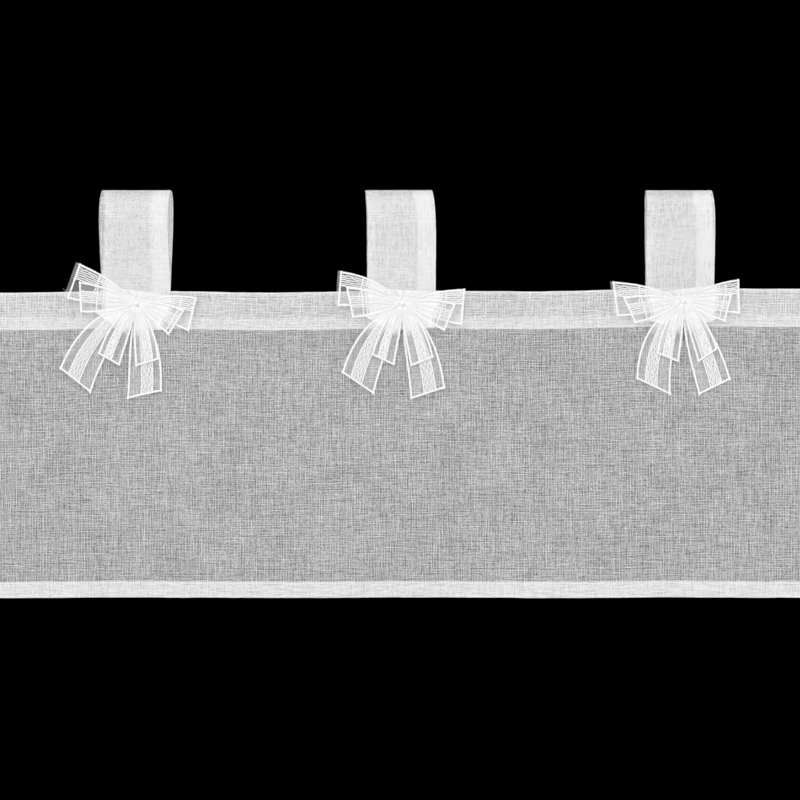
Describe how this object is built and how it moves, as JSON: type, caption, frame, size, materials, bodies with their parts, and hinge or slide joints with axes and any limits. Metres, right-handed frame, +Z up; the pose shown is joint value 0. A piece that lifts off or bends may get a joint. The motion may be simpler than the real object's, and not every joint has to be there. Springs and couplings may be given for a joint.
{
  "type": "short curtain",
  "caption": "Short sheer voile curtain with tab loops for a rod, a turned heading and bottom hem, and an embroidered organza bow at each tab.",
  "frame": {"origin": "on the axis of the rod that the tabs hang from, at the middle tab", "axes": "+X along the rod, +Z up; the front of the curtain, with the bows, faces -Y"},
  "size_m": [0.6, 0.0206, 0.3006],
  "materials": {
    "panel_voile": "sheer linen-look voile",
    "tab_voile": "sheer linen-look voile, two layers",
    "organza": "sheer organza with satin-stitched embroidery",
    "pearl": "pearl gloss"
  },
  "bodies": {
    "root": {"panel": "panel_voile", "tab_left": "tab_voile", "tab_middle": "tab_voile", "tab_right": "tab_voile", "bow_left_back": "organza", "bow_left_front": "organza", "bow_left_pearl": "pearl", "bow_middle_back": "organza", "bow_middle_front": "organza", "bow_middle_pearl": "pearl", "bow_right_back": "organza", "bow_right_front": "organza", "bow_right_pearl": "pearl"}
  },
  "joints": []
}
